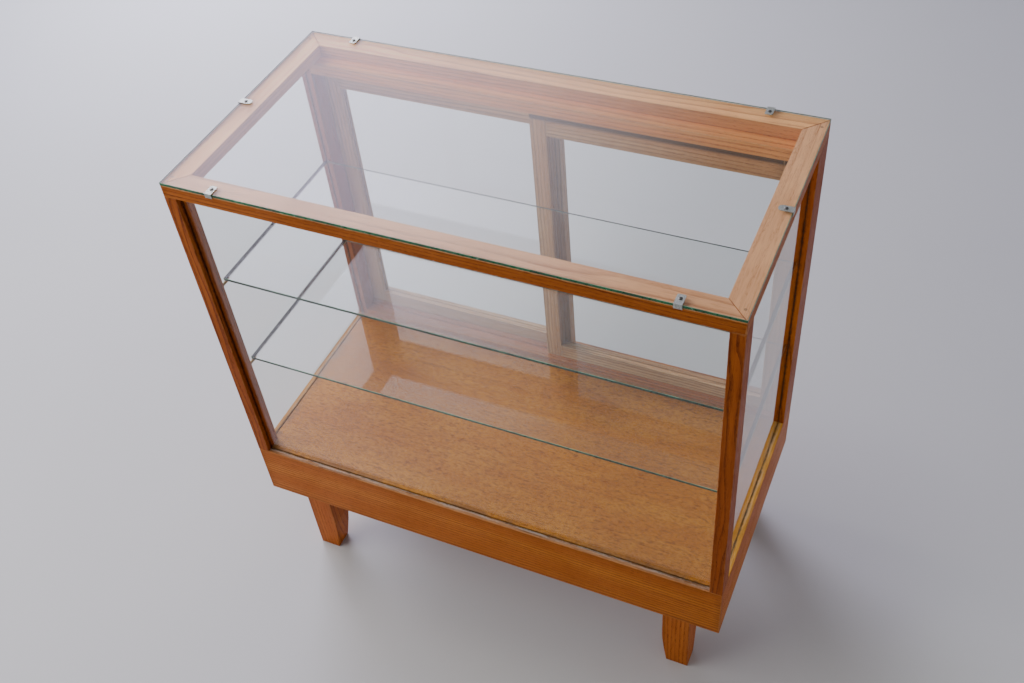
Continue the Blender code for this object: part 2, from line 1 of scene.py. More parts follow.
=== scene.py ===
import math
import bmesh
import bpy
from mathutils import Euler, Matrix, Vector


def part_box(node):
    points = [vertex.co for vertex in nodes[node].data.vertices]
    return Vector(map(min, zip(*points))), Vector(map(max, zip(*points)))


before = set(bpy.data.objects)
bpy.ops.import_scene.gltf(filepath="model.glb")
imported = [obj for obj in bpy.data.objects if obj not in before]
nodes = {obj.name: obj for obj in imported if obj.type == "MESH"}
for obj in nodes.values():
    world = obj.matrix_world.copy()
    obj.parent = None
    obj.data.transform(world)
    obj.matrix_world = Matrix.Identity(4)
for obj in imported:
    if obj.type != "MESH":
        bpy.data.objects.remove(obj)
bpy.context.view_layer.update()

# --- Aprons ------------------------------------------------------------------------------------
# Four oak boards mitred round the base, planed, oiled a warm orange brown and worn pale along the
# narrow ledge in front of the glass. They are glued to the legs and rebated for the deck.


def stain(red, green, blue):
    """A colour given as it looks on a screen, 0 to 255, turned into the linear light of a shader."""
    channels = []
    for value in (red, green, blue):
        share = value / 255
        channels.append(share / 12.92 if share <= 0.04045 else ((share + 0.055) / 1.055) ** 2.4)
    return (*channels, 1.0)


def wire(tree, kind, feeds=None, **settings):
    """A node with its settings made and its inputs fed, each by a plain value or by another socket."""
    node = tree.nodes.new("ShaderNode" + kind)
    for key, value in settings.items():
        setattr(node, key, value)
    for key, feed in (feeds or {}).items():
        if isinstance(feed, bpy.types.NodeSocket):
            tree.links.new(feed, node.inputs[key])
        else:
            node.inputs[key].default_value = feed
    return node


def reckon(tree, operation, first, second=0.0, clamp=False):
    """Arithmetic on values or sockets; an operation on one value leaves the second out."""
    return wire(tree, "Math", {0: first, 1: second}, operation=operation, use_clamp=clamp).outputs[0]


def blend_colours(tree, share, first, second):
    """The first colour where the share is 0, the second where it is 1."""
    return wire(tree, "Mix", {0: share, 6: first, 7: second}, data_type="RGBA").outputs[2]


def ease(tree, value, low, high):
    """0 below low, 1 above high, and a smooth step between; low may be the larger."""
    feeds = {"Value": value, "From Min": low, "From Max": high}
    return wire(tree, "MapRange", feeds, interpolation_type="SMOOTHSTEP").outputs["Result"]


def start_group(name, inputs, outputs):
    """An empty node group with its named sockets, and its input and output nodes."""
    group = bpy.data.node_groups.new(name, "ShaderNodeTree")
    for socket_name, kind in inputs:
        group.interface.new_socket(socket_name, in_out="INPUT", socket_type="NodeSocket" + kind)
    for socket_name, kind in outputs:
        group.interface.new_socket(socket_name, in_out="OUTPUT", socket_type="NodeSocket" + kind)
    return group, group.nodes.new("NodeGroupInput").outputs, group.nodes.new("NodeGroupOutput").inputs


def speckle(tree, place, stretch, detail=2.0, roughness=0.55):
    """Noise over a place in metres; stretch is how many features there are in a metre each way."""
    scaled = wire(tree, "VectorMath", {0: place, 1: stretch}, operation="MULTIPLY").outputs[0]
    feeds = {"Vector": scaled, "Scale": 1.0, "Detail": detail, "Roughness": roughness}
    return wire(tree, "TexNoise", feeds, noise_dimensions="3D").outputs["Fac"]


RINGS_PER_METRE = 52.0
RING_DRIFT = 0.035  # how far the rings wander sideways, in metres
RINGS_ALONG_GRAIN = 0.04  # how much slower the rings change along the board than across it


def make_oak_figure():
    """Oak figure along X: growth rings round a heart beside the board, streaks, pores and flecks."""
    group, given, made = start_group(
        "oak_figure",
        [("Place", "Vector"), ("Heart", "Vector"), ("Board", "Float"), ("Pale", "Color"),
         ("Main", "Color"), ("Dark", "Color"), ("Pore Colour", "Color")],
        [("Color", "Color"), ("Grain", "Float"), ("Roughness", "Float"), ("Height", "Float")])
    apart = wire(group, "CombineXYZ", {
        0: reckon(group, "MULTIPLY", given["Board"], 3.7),
        1: reckon(group, "MULTIPLY", given["Board"], 1.31),
        2: reckon(group, "MULTIPLY", given["Board"], 2.17)}).outputs[0]
    place = wire(group, "VectorMath", {0: given["Place"], 1: apart}, operation="ADD").outputs[0]
    bend = speckle(group, place, (2.2, 9.0, 9.0), detail=2.0)
    bend = reckon(group, "MULTIPLY", reckon(group, "SUBTRACT", bend, 0.5), RING_DRIFT)
    bend = wire(group, "CombineXYZ", {1: bend, 2: bend}).outputs[0]
    ringed = wire(group, "VectorMath", {0: given["Place"], 1: given["Heart"]}, operation="SUBTRACT")
    ringed = wire(group, "VectorMath", {0: ringed.outputs[0], 1: bend}, operation="ADD").outputs[0]
    ringed = wire(group, "VectorMath", {0: ringed, 1: (RINGS_ALONG_GRAIN, 1.0, 1.0)},
                  operation="MULTIPLY").outputs[0]
    rings = wire(group, "TexWave", {
        "Vector": ringed, "Scale": RINGS_PER_METRE, "Distortion": 1.6, "Detail": 2.0, "Detail Scale": 2.0,
        "Detail Roughness": 0.6}, wave_type="RINGS", rings_direction="X", wave_profile="SAW")
    late = rings.outputs["Fac"]
    bands = speckle(group, place, (1.3, 30.0, 30.0), detail=2.0)
    streaks = speckle(group, place, (5.0, 210.0, 210.0), detail=3.0, roughness=0.6)
    fine = speckle(group, place, (34.0, 520.0, 520.0), detail=2.0, roughness=0.6)
    pores = speckle(group, place, (110.0, 1500.0, 1500.0), detail=1.0)
    flecks = speckle(group, place, (150.0, 330.0, 330.0), detail=1.0)
    dark_share = reckon(group, "MULTIPLY", ease(group, late, 0.50, 0.98), 0.75)
    dark_share = reckon(group, "MULTIPLY", dark_share, ease(group, bands, 0.28, 0.58))
    dark_share = reckon(group, "ADD", dark_share, reckon(
        group, "MULTIPLY", ease(group, streaks, 0.50, 0.78), 0.45))
    dark_share = reckon(group, "ADD", dark_share, reckon(
        group, "MULTIPLY", ease(group, fine, 0.50, 0.72), 0.42), clamp=True)
    colour = blend_colours(group, ease(group, bands, 0.35, 0.70), given["Main"], given["Pale"])
    colour = blend_colours(group, dark_share, colour, given["Dark"])
    pale_flecks = reckon(group, "MULTIPLY", ease(group, flecks, 0.58, 0.70), 0.30)
    colour = blend_colours(group, pale_flecks, colour, given["Pale"])
    pore_share = reckon(group, "MULTIPLY", ease(group, pores, 0.56, 0.68), ease(group, late, 0.2, 0.9))
    colour = blend_colours(
        group, reckon(group, "MULTIPLY", pore_share, 0.8), colour, given["Pore Colour"])
    group.links.new(colour, made["Color"])
    group.links.new(reckon(group, "MAXIMUM", dark_share, pore_share), made["Grain"])
    shine = reckon(group, "ADD", reckon(group, "MULTIPLY", fine, 0.20), 0.34)
    shine = reckon(group, "ADD", shine, reckon(group, "MULTIPLY", pore_share, 0.25))
    group.links.new(shine, made["Roughness"])
    height = reckon(group, "SUBTRACT", reckon(group, "MULTIPLY", fine, 0.5), pore_share)
    group.links.new(height, made["Height"])
    return group


WEAR_RAGGED = 0.006  # how unevenly wear and dirt end, in metres
EDGE_GRIME_REACH = 0.016


def make_edge_wear():
    """How near a point is to a board's edges, from the board's own corners, with a ragged limit."""
    group, given, made = start_group(
        "edge_wear",
        [("Place", "Vector"), ("Low", "Vector"), ("High", "Vector"), ("Reach", "Float")],
        [("Worn", "Float"), ("Grime", "Float")])
    from_low = wire(group, "VectorMath", {0: given["Place"], 1: given["Low"]}, operation="SUBTRACT")
    from_high = wire(group, "VectorMath", {0: given["High"], 1: given["Place"]}, operation="SUBTRACT")
    nearest = wire(group, "VectorMath", {0: from_low.outputs[0], 1: from_high.outputs[0]},
                   operation="MINIMUM")
    across = wire(group, "SeparateXYZ", {0: nearest.outputs[0]}).outputs
    lower = reckon(group, "MINIMUM", across[0], across[1])
    upper = reckon(group, "MAXIMUM", across[0], across[1])
    to_edge = reckon(group, "MAXIMUM", lower, reckon(group, "MINIMUM", upper, across[2]))
    ragged = speckle(group, given["Place"], (45.0, 45.0, 45.0), detail=5.0, roughness=0.7)
    ragged = reckon(group, "MULTIPLY", reckon(group, "SUBTRACT", ragged, 0.5), WEAR_RAGGED)
    to_edge = reckon(group, "ADD", to_edge, ragged)
    group.links.new(ease(group, to_edge, given["Reach"], 0.0), made["Worn"])
    group.links.new(ease(group, to_edge, EDGE_GRIME_REACH, 0.0), made["Grime"])
    return group


PANE_DIRT_RAGGED = 0.008
PANE_GRIME_AND_SHADE_REACH = 0.0055
PANE_DUST_REACH = 0.010
PANE_DIRT_CORE = 0.001
OUTER_FACE_DEPTH = 0.004  # the outer faces of the case start this close to its outline
INNER_FACE_DEPTH = 0.030  # past this depth a face looks into the case


def make_pane_dirt_and_shade():
    """The dust and dark grime that gather where the panes meet the wood, inside the case's outline; the
    grime also carries painted shade in the grooves that hold the panes.

    Inside is 1 well within the outline, on the faces that look into the case.
    """
    group, given, made = start_group(
        "pane_dirt_and_shade",
        [("Place", "Vector"), ("Case Half", "Vector"), ("Front Pane", "Float"), ("Side Pane", "Float")],
        [("Grime", "Float"), ("Dust", "Float"), ("Inside", "Float")])
    spot = wire(group, "SeparateXYZ", {0: given["Place"]}).outputs
    half = wire(group, "SeparateXYZ", {0: given["Case Half"]}).outputs
    across = reckon(group, "ABSOLUTE", spot[0])
    ragged = speckle(group, given["Place"], (120.0, 120.0, 120.0), detail=4.0, roughness=0.75)
    ragged = reckon(group, "MULTIPLY", reckon(group, "SUBTRACT", ragged, 0.5), PANE_DIRT_RAGGED)
    off_front = reckon(group, "ABSOLUTE", reckon(group, "SUBTRACT", spot[1], given["Front Pane"]))
    off_side = reckon(group, "ABSOLUTE", reckon(group, "SUBTRACT", across, given["Side Pane"]))
    deep = reckon(group, "ABSOLUTE", spot[1])
    within = {}
    for depth in (OUTER_FACE_DEPTH, INNER_FACE_DEPTH):
        within[depth] = (
            reckon(group, "LESS_THAN", across, reckon(group, "SUBTRACT", half[0], depth)),
            reckon(group, "LESS_THAN", deep, reckon(group, "SUBTRACT", half[1], depth)))
    within_ends, within_face = within[OUTER_FACE_DEPTH]
    # The grime mask is real grime and also painted shade along the grooves that hold the panes.
    for socket, reach in (("Grime", PANE_GRIME_AND_SHADE_REACH), ("Dust", PANE_DUST_REACH)):
        at_front = ease(group, reckon(group, "ADD", off_front, ragged), reach, PANE_DIRT_CORE)
        at_side = ease(group, reckon(group, "ADD", off_side, ragged), reach, PANE_DIRT_CORE)
        at_front = reckon(group, "MULTIPLY", at_front, within_ends)
        at_side = reckon(group, "MULTIPLY", at_side, within_face)
        group.links.new(reckon(group, "MAXIMUM", at_front, at_side), made[socket])
    group.links.new(reckon(group, "MULTIPLY", *within[INNER_FACE_DEPTH]), made["Inside"])
    return group


OAK_FIGURE = make_oak_figure()
EDGE_WEAR = make_edge_wear()
PANE_DIRT_AND_SHADE = make_pane_dirt_and_shade()
GRAIN_TURNS = {  # brings the board's length onto X
    "x": Euler((0, 0, 0)),
    "y": Euler((0, 0, -math.pi / 2)),
    "z": Euler((0, math.pi / 2, 0)),
}
CASE_HALF = (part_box("front_apron")[1].x, -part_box("front_apron")[0].y, 0.0)
FRONT_PANE_MIDDLE = sum(corner.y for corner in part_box("front_pane")) / 2
SIDE_PANE_MIDDLE = sum(corner.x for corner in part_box("right_pane")) / 2


def start_finish(name):
    """A new material with its tree, its shader and the piece's own coordinates."""
    finish = bpy.data.materials.new(name)
    finish.use_nodes = True
    tree = finish.node_tree
    return finish, tree, tree.nodes["Principled BSDF"], wire(tree, "TexCoord").outputs["Object"]


def put_on(node, *finishes):
    """Gives a piece its finishes, in the order of its facets' material numbers."""
    nodes[node].data.materials.clear()
    for finish in finishes:
        nodes[node].data.materials.append(finish)


def up_facing(tree):
    """1 on faces that look up, 0 elsewhere."""
    normal = wire(tree, "TexCoord").outputs["Normal"]
    return ease(tree, wire(tree, "SeparateXYZ", {0: normal}).outputs[2], 0.6, 0.95)


OAK_WORN_REACH = 0.0016
OAK_PORE_SHADE = 0.35  # how dark the pores are, as a share of the wood's dark colour
OAK_SHEEN = 0.1
OAK_RELIEF = 0.0004
PAINTED_SHADOW_FADE = 0.006
PIN_HEAD = 0.0020
PIN_STAIN = 0.0028
EDGE_GRIME = stain(60, 30, 12)
# dark grime by the panes, which also serves as painted shade in the grooves
PANE_GRIME_AND_SHADE = stain(34, 24, 18)
PALE_DUST = stain(178, 164, 152)
# colour of the painted shadow that the head casts on the doors
HEAD_SHADOW_PAINT = stain(52, 40, 36)
PIN_RUST = stain(92, 70, 56)


def oil_oak(node, grain, board, pale, main, dark, worn, heart=(0.0, 0.05, -0.11), bleached=None,
            grime_and_shade=0.8, dust=0.0, painted_shadow_from=None, pins=()):
    """Oiled oak on one board: its figure, worn edges, grime and painted groove shade by the glass, and
    bleached upper faces.

    bleached is a pale and a darker colour, the shadow height is a height above which the board
    carries a painted shadow cast by the head, and pins are the middles of the heads of the panel
    pins in it.
    """
    finish, tree, shader, place = start_finish(node + "_oiled_oak")
    low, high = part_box(node)
    middle = (low + high) / 2
    middle.rotate(GRAIN_TURNS[grain])
    turned = wire(tree, "Mapping", {
        "Vector": place, "Rotation": GRAIN_TURNS[grain], "Location": -middle}).outputs[0]
    figure = wire(tree, "Group", node_tree=OAK_FIGURE)
    tree.links.new(turned, figure.inputs["Place"])
    figure.inputs["Board"].default_value = board
    figure.inputs["Heart"].default_value = heart
    for socket, colour in (("Pale", pale), ("Main", main), ("Dark", dark)):
        figure.inputs[socket].default_value = colour
    figure.inputs["Pore Colour"].default_value = (
        *(channel * OAK_PORE_SHADE for channel in dark[:3]), 1.0)
    edges = wire(tree, "Group", node_tree=EDGE_WEAR)
    tree.links.new(place, edges.inputs["Place"])
    edges.inputs["Low"].default_value = low
    edges.inputs["High"].default_value = high
    edges.inputs["Reach"].default_value = OAK_WORN_REACH
    dirt_and_shade = wire(tree, "Group", node_tree=PANE_DIRT_AND_SHADE)
    tree.links.new(place, dirt_and_shade.inputs["Place"])
    dirt_and_shade.inputs["Case Half"].default_value = CASE_HALF
    dirt_and_shade.inputs["Front Pane"].default_value = FRONT_PANE_MIDDLE
    dirt_and_shade.inputs["Side Pane"].default_value = SIDE_PANE_MIDDLE
    clouds = ease(tree, speckle(tree, place, (9.0, 9.0, 9.0), detail=3.0), 0.35, 0.75)
    colour = figure.outputs["Color"]
    colour = blend_colours(tree, reckon(tree, "MULTIPLY", clouds, 0.22), colour, dark)
    colour = blend_colours(
        tree, reckon(tree, "MULTIPLY", edges.outputs["Grime"], 0.18), colour, EDGE_GRIME)
    if bleached:
        faded = blend_colours(tree, figure.outputs["Grain"], *bleached)
        faded = blend_colours(tree, reckon(tree, "MULTIPLY", clouds, 0.3), faded, bleached[1])
        inner = reckon(tree, "MULTIPLY", dirt_and_shade.outputs["Inside"], 0.45)
        colour = blend_colours(tree, reckon(tree, "MAXIMUM", up_facing(tree), inner), colour, faded)
    # Painted shadow: a dark band high on the door boards stands for the shadow that the head casts.
    if painted_shadow_from:
        height = wire(tree, "SeparateXYZ", {0: place}).outputs[2]
        painted_shadow = ease(tree, height, painted_shadow_from, painted_shadow_from + PAINTED_SHADOW_FADE)
        colour = blend_colours(tree, reckon(tree, "MULTIPLY", painted_shadow, 0.8), colour, HEAD_SHADOW_PAINT)
    if dust:
        scuffs = ease(tree, speckle(tree, turned, (26.0, 420.0, 420.0), detail=3.0), 0.40, 0.62)
        dusty = reckon(tree, "MULTIPLY", dirt_and_shade.outputs["Dust"], up_facing(tree))
        dusty = reckon(tree, "MULTIPLY", dusty, scuffs)
        colour = blend_colours(tree, reckon(tree, "MULTIPLY", dusty, dust), colour, PALE_DUST)
    # Grime along the panes, together with painted shade where the grooves hold the glass.
    colour = blend_colours(
        tree, reckon(tree, "MULTIPLY", dirt_and_shade.outputs["Grime"], grime_and_shade), colour, PANE_GRIME_AND_SHADE)
    colour = blend_colours(tree, reckon(tree, "MULTIPLY", edges.outputs["Worn"], 0.5), colour, worn)
    for pin in pins:
        off_pin = wire(tree, "VectorMath", {0: place, 1: pin}, operation="DISTANCE").outputs["Value"]
        rust = reckon(tree, "MULTIPLY", ease(tree, off_pin, PIN_STAIN, PIN_HEAD), 0.6)
        colour = blend_colours(tree, rust, colour, PIN_RUST)
    tree.links.new(colour, shader.inputs["Base Color"])
    dulled = reckon(tree, "MULTIPLY", dirt_and_shade.outputs["Dust"], 0.2)
    rough = reckon(tree, "ADD", figure.outputs["Roughness"], reckon(tree, "MULTIPLY", clouds, 0.1))
    tree.links.new(reckon(tree, "ADD", rough, dulled), shader.inputs["Roughness"])
    shader.inputs["Specular IOR Level"].default_value = OAK_SHEEN
    relief = wire(tree, "Bump", {
        "Strength": 0.4, "Distance": OAK_RELIEF, "Height": figure.outputs["Height"]}).outputs[0]
    tree.links.new(relief, shader.inputs["Normal"])
    put_on(node, finish)


APRON_PALE = stain(202, 120, 44)
APRON_MAIN = stain(182, 98, 28)
APRON_DARK = stain(142, 70, 16)
FRONT_LEDGE = (stain(156, 106, 68), stain(100, 60, 34))
# Painted light: the ledges on the ends are painted a more golden colour than the front ones, for the
# light that falls on them.
END_LEDGE_BLEACHED_AND_LIT = (stain(180, 122, 44), stain(110, 66, 18))
SIDES = (("front", "x"), ("right", "y"), ("rear", "x"), ("left", "y"))  # with the way the grain runs
for board, (side, grain) in enumerate(SIDES):
    ledge, dust = (FRONT_LEDGE, 0.8) if grain == "x" else (END_LEDGE_BLEACHED_AND_LIT, 0.45)
    oil_oak(side + "_apron", grain, board + 1.0, APRON_PALE, APRON_MAIN, APRON_DARK,
            worn=stain(196, 132, 76), bleached=ledge, dust=dust)

# --- Legs --------------------------------------------------------------------------------------
# Four square oak legs glued and screwed behind the front and rear aprons, spokeshaved to a taper
# on their two inner faces. The grain runs down the leg and the feet are scuffed.
LEG_PALE = stain(198, 112, 40)
LEG_MAIN = stain(176, 90, 24)
LEG_DARK = stain(158, 78, 20)
for board, leg in enumerate(("front_left", "front_right", "rear_left", "rear_right")):
    oil_oak(leg + "_leg", "z", board + 11.0, LEG_PALE, LEG_MAIN, LEG_DARK, worn=stain(190, 130, 78),
            grime_and_shade=0.0)

# --- Deck --------------------------------------------------------------------------------------
# The floor of the case is a sheet of plywood with a plain tan face veneer, lacquered to a satin
# and let in flush with the aprons. It is clouded by use and has gathered dirt along its edges.
DECK_TAN = stain(164, 98, 24)
DECK_GOLDEN = stain(178, 115, 34)
DECK_SMUDGE = stain(96, 70, 52)
DECK_EDGE_REACH = 0.004
DECK_SHEEN = 0.12
DECK_RELIEF = 0.0003


def lacquer_deck():
    """Satin veneer: drifting tan and golden, with clouds, grain lines, mottle and dark flecks."""
    finish, tree, shader, place = start_finish("deck_lacquered_veneer")
    drift = speckle(tree, place, (3.0, 13.0, 13.0), detail=3.0)
    clouds = speckle(tree, place, (9.0, 15.0, 15.0), detail=5.0, roughness=0.68)
    lines = speckle(tree, place, (5.0, 115.0, 115.0), detail=4.0, roughness=0.7)
    mottle = speckle(tree, place, (140.0, 190.0, 190.0), detail=5.0, roughness=0.8)
    flecks = speckle(tree, place, (80.0, 300.0, 300.0), detail=2.0)
    colour = blend_colours(tree, ease(tree, drift, 0.3, 0.7), DECK_TAN, DECK_GOLDEN)
    layers = (  # pattern, where it starts, where it is full, how strong it is, its colour
        (clouds, 0.42, 0.72, 0.50, stain(143, 80, 20)),
        (lines, 0.48, 0.72, 0.42, stain(120, 62, 14)),
        (mottle, 0.44, 0.58, 0.55, stain(129, 71, 20)),
        (flecks, 0.54, 0.64, 0.50, stain(98, 52, 18)),
    )
    for pattern, low_end, high_end, strength, tone in layers:
        share = reckon(tree, "MULTIPLY", ease(tree, pattern, low_end, high_end), strength)
        colour = blend_colours(tree, share, colour, tone)
    low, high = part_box("deck")
    edges = wire(tree, "Group", node_tree=EDGE_WEAR)
    tree.links.new(place, edges.inputs["Place"])
    edges.inputs["Low"].default_value = low
    edges.inputs["High"].default_value = high
    edges.inputs["Reach"].default_value = DECK_EDGE_REACH
    smudged = reckon(tree, "MULTIPLY", edges.outputs["Grime"], ease(tree, clouds, 0.40, 0.55))
    colour = blend_colours(tree, reckon(tree, "MULTIPLY", smudged, 0.6), colour, DECK_SMUDGE)
    tree.links.new(colour, shader.inputs["Base Color"])
    tree.links.new(
        reckon(tree, "ADD", reckon(tree, "MULTIPLY", clouds, 0.25), 0.28), shader.inputs["Roughness"])
    shader.inputs["Specular IOR Level"].default_value = DECK_SHEEN
    relief = wire(tree, "Bump", {"Strength": 0.2, "Distance": DECK_RELIEF, "Height": lines}).outputs[0]
    tree.links.new(relief, shader.inputs["Normal"])
    put_on("deck", finish)


lacquer_deck()

# --- Posts -------------------------------------------------------------------------------------
# Four oak posts stand on the apron corners. Their grain runs upright, the oil has darkened on
# them, and narrow grooves on the inner faces hold the edges of the panes.
POST_PALE = stain(176, 92, 20)
POST_MAIN = stain(156, 72, 10)
POST_DARK = stain(116, 48, 4)
for board, post in enumerate(("front_left", "front_right", "rear_left", "rear_right")):
    oil_oak(post + "_post", "z", board + 21.0, POST_PALE, POST_MAIN, POST_DARK,
            worn=stain(182, 118, 62), heart=(0.0, -0.09, -0.06))

# --- Front and end panes, shelves ----------------------------------------------------------------
# Sheets of old clear float glass: 3 mm panes held in the grooves, and 5 mm shelves with ground
# edges. The glass is clear on its faces and dark green along its cut edges, with faint smears.


def make_glass_film():
    """The smears and dust that dull the faces of a sheet, as a roughness."""
    group, given, made = start_group(
        "glass_film", [("Place", "Vector"), ("Smears", "Float")], [("Roughness", "Float")])
    smears = speckle(group, given["Place"], (5.0, 5.0, 5.0), detail=5.0, roughness=0.7)
    dust = speckle(group, given["Place"], (420.0, 420.0, 420.0), detail=1.0)
    dull = reckon(group, "MULTIPLY", ease(group, smears, 0.45, 0.8), given["Smears"])
    dull = reckon(group, "ADD", dull, reckon(group, "MULTIPLY", ease(group, dust, 0.74, 0.8), 0.08))
    group.links.new(dull, made["Roughness"])
    return group


GLASS_FILM = make_glass_film()
CLEAR_TINT = (0.965, 0.985, 0.975, 1.0)
LAMP_TINT = (0.93, 0.96, 0.945, 1.0)  # what lamp light keeps when it goes through a face
# colour of the painted dark reflection at the ends of the shelves
END_PAINTED_REFLECTION = stain(30, 24, 24)
END_FADE = 0.0006
THIN_BENDING = 1.3
THICK_BENDING = 1.5
# painted reflections that the cut edges show from inside the glass, pale on panes and dark on shelves
PALE_REFLECTION_PAINTED_WITHIN = stain(150, 160, 156)
DARK_REFLECTION_PAINTED_WITHIN = stain(60, 52, 54)
EDGE_SHADE = 0.35  # how dark an edge's dark patches are, as a share of its green
EDGE_RELIEF = 0.0002
FLAT_FACE = 0.95  # a facet that looks along the sheet's axis this squarely is a clear face
SEAM_FACE = 0.3
FACE_AXES = {"x": 0, "y": 1, "z": 2}


def clear_face(name, smears, bending, painted_dark_ends_from):
    """The clear faces of a sheet, which let lamp light through and carry a painted dark reflection close
    to its two ends.
    """
    finish, tree, shader, place = start_finish(name)
    film = wire(tree, "Group", {"Place": place, "Smears": smears}, node_tree=GLASS_FILM)
    tree.links.new(film.outputs["Roughness"], shader.inputs["Roughness"])
    # Painted reflection: a dark band at each end stands for the dark end faces seen through the glass.
    if painted_dark_ends_from:
        across = reckon(tree, "ABSOLUTE", wire(tree, "SeparateXYZ", {0: place}).outputs[0])
        painted_end_bands = ease(tree, across, painted_dark_ends_from, painted_dark_ends_from + END_FADE)
        tree.links.new(blend_colours(tree, painted_end_bands, CLEAR_TINT, END_PAINTED_REFLECTION), shader.inputs["Base Color"])
    else:
        shader.inputs["Base Color"].default_value = CLEAR_TINT
    shader.inputs["Transmission Weight"].default_value = 1.0
    shader.inputs["IOR"].default_value = bending
    lamp_ray = wire(tree, "LightPath").outputs["Is Shadow Ray"]
    open_way = wire(tree, "BsdfTransparent", {"Color": LAMP_TINT})
    either = wire(tree, "MixShader", {0: lamp_ray, 1: shader.outputs[0], 2: open_way.outputs[0]})
    tree.links.new(either.outputs[0], tree.nodes["Material Output"].inputs["Surface"])
    return finish


def cut_edge(name, green, seam, reflection_painted_within):
    """A ground edge: deep green and dark in patches, silky, with paler chips along it.

    the last argument is the painted reflection that its inner side shows through the clear faces.
    """
    finish, tree, shader, place = start_finish(name)
    waves = speckle(tree, place, (30.0, 30.0, 30.0), detail=4.0, roughness=0.65)
    chips = speckle(tree, place, (260.0, 260.0, 260.0), detail=3.0)
    dark = (*(channel * EDGE_SHADE for channel in green[:3]), 1.0)
    colour = blend_colours(tree, ease(tree, waves, 0.35, 0.65), dark, green)
    colour = blend_colours(
        tree, reckon(tree, "MULTIPLY", ease(tree, chips, 0.62, 0.72), 0.6), colour, seam)
    # Painted reflection: seen from inside the glass, the edge takes the given colour instead of its
    # green.
    from_within = wire(tree, "NewGeometry").outputs["Backfacing"]
    colour = blend_colours(
        tree, reckon(tree, "MULTIPLY", from_within, 0.6), colour, reflection_painted_within)
    tree.links.new(colour, shader.inputs["Base Color"])
    tree.links.new(
        reckon(tree, "ADD", reckon(tree, "MULTIPLY", chips, 0.3), 0.15), shader.inputs["Roughness"])
    relief = wire(tree, "Bump", {"Strength": 0.3, "Distance": EDGE_RELIEF, "Height": chips}).outputs[0]
    tree.links.new(relief, shader.inputs["Normal"])
    return finish


def glaze(node, face_axis, green, seam, smears=0.03, bending=THIN_BENDING, painted_dark_ends_from=None,
          reflection_painted_within=PALE_REFLECTION_PAINTED_WITHIN):
    """Clear faces, green cut edges and the pale ground seam between them, on one sheet; the seam's
    paleness is partly a painted highlight.
    """
    put_on(node, clear_face(node + "_clear_face", smears, bending, painted_dark_ends_from),
           cut_edge(node + "_cut_edge", green, seam, reflection_painted_within),
           cut_edge(node + "_ground_seam_and_highlight", seam, green, reflection_painted_within))
    for facet in nodes[node].data.polygons:
        looks_out = abs(facet.normal[FACE_AXES[face_axis]])
        facet.material_index = 0 if looks_out > FLAT_FACE else 2 if looks_out > SEAM_FACE else 1


PANE_GREEN = stain(40, 78, 62)
SHELF_GREEN = stain(20, 66, 46)
# frosted ground seam, painted paler than frosting alone as a painted highlight along the edges
PALE_SEAM_AND_HIGHLIGHT = stain(132, 192, 158)
# width of the painted dark reflection at each shelf end
PAINTED_DARK_END_WIDTH = 0.0065
glaze("front_pane", "y", PANE_GREEN, PALE_SEAM_AND_HIGHLIGHT)
glaze("left_pane", "x", PANE_GREEN, PALE_SEAM_AND_HIGHLIGHT)
glaze("right_pane", "x", PANE_GREEN, PALE_SEAM_AND_HIGHLIGHT)
for level in ("upper", "lower"):
    glaze(level + "_shelf", "z", SHELF_GREEN, PALE_SEAM_AND_HIGHLIGHT, bending=THICK_BENDING,
          painted_dark_ends_from=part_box(level + "_shelf")[1].x - PAINTED_DARK_END_WIDTH, reflection_painted_within=DARK_REFLECTION_PAINTED_WITHIN)

# --- Shelf pegs ----------------------------------------------------------------------------------
# Eight plain turned brass pegs, pushed into blind holes in the posts, on which the shelves lie.
# The brass has gone brown with age in patches, and is a little scratched.
METAL_RELIEF = 0.0001


def age_metal(name, bright, dull, roughness, grain_per_metre):
    """Bare metal with a patchy tarnish over it."""
    finish, tree, shader, place = start_finish(name)
    patches = speckle(tree, place, (grain_per_metre,) * 3, detail=4.0, roughness=0.65)
    scratches = speckle(tree, place, (2600.0, 300.0, 2600.0), detail=2.0)
    colour = blend_colours(tree, ease(tree, patches, 0.35, 0.7), bright, dull)
    tree.links.new(colour, shader.inputs["Base Color"])
    gloss = reckon(tree, "ADD", reckon(tree, "MULTIPLY", patches, 0.3), roughness)
    tree.links.new(gloss, shader.inputs["Roughness"])
    shader.inputs["Metallic"].default_value = 1.0
    relief = wire(tree, "Bump", {
        "Strength": 0.2, "Distance": METAL_RELIEF, "Height": scratches}).outputs[0]
    tree.links.new(relief, shader.inputs["Normal"])
    return finish


PEG_BRASS = age_metal("peg_aged_brass", stain(176, 142, 84), stain(112, 84, 46), 0.25, 500.0)
for level in ("lower", "upper"):
    for row in ("front", "rear"):
        for hand in ("left", "right"):
            put_on(f"{level}_peg_{row}_{hand}", PEG_BRASS)

# --- Door tracks ---------------------------------------------------------------------------------
# A grooved oak head under the rear top rail and a grooved oak sill on the deck, both planed to run
# two doors side by side. The head's upper face shows as a ledge below the counter glass.
HEAD_PALE = stain(240, 166, 94)
HEAD_MAIN = stain(230, 142, 76)
HEAD_DARK = stain(192, 108, 52)
oil_oak("head_track", "x", 31.0, HEAD_PALE, HEAD_MAIN, HEAD_DARK, worn=stain(214, 160, 106), grime_and_shade=0.3)
oil_oak("sill_track", "x", 32.0, APRON_PALE, APRON_MAIN, APRON_DARK, worn=stain(200, 140, 84),
        grime_and_shade=0.3)

